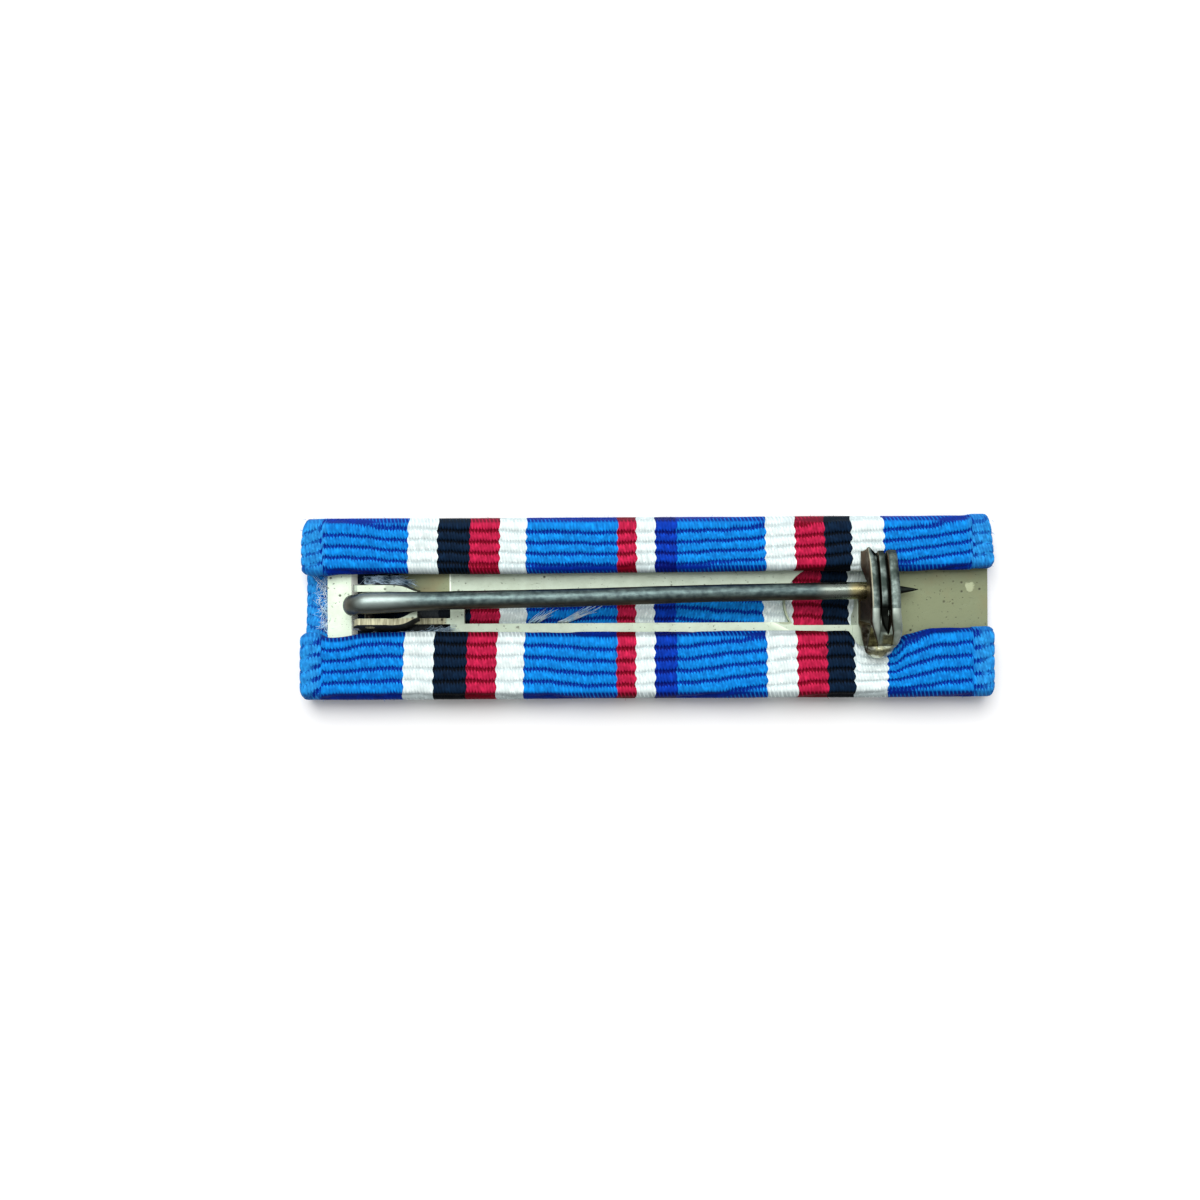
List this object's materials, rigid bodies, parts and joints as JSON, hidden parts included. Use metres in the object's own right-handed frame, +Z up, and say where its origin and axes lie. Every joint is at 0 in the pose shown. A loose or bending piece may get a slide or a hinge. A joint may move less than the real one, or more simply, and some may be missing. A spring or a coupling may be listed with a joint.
{
  "type": "ribbon bar",
  "caption": "Striped ribbon wound round a stamped back plate, with a hinged pin and a hook catch on the back.",
  "frame": {"origin": "centre of the bar, on the surface under its front", "axes": "+X along the bar from the hinge to the catch, +Y across it towards the fold that the hook opens to, +Z up out of the back"},
  "size_m": [0.0348, 0.0092, 0.0034],
  "materials": {
    "ribbon": "ribbed grosgrain with stripes",
    "plate_brass": "pale, lightly tarnished",
    "pin_steel": "dark, worn",
    "catch_metal": "dark plating worn to metal"
  },
  "bodies": {
    "bar": {"ribbon": "ribbon", "back_plate": "plate_brass", "hinge_rivet": "plate_brass", "catch": "catch_metal"},
    "pin": {"pin": "pin_steel"}
  },
  "joints": [
    {"name": "pin_hinge", "type": "hinge", "parent": "bar", "child": "pin", "pos_m": [-0.014, 0.00025, 0.00181], "axis": [0, -1, 0], "range_deg": [0, 110]}
  ]
}
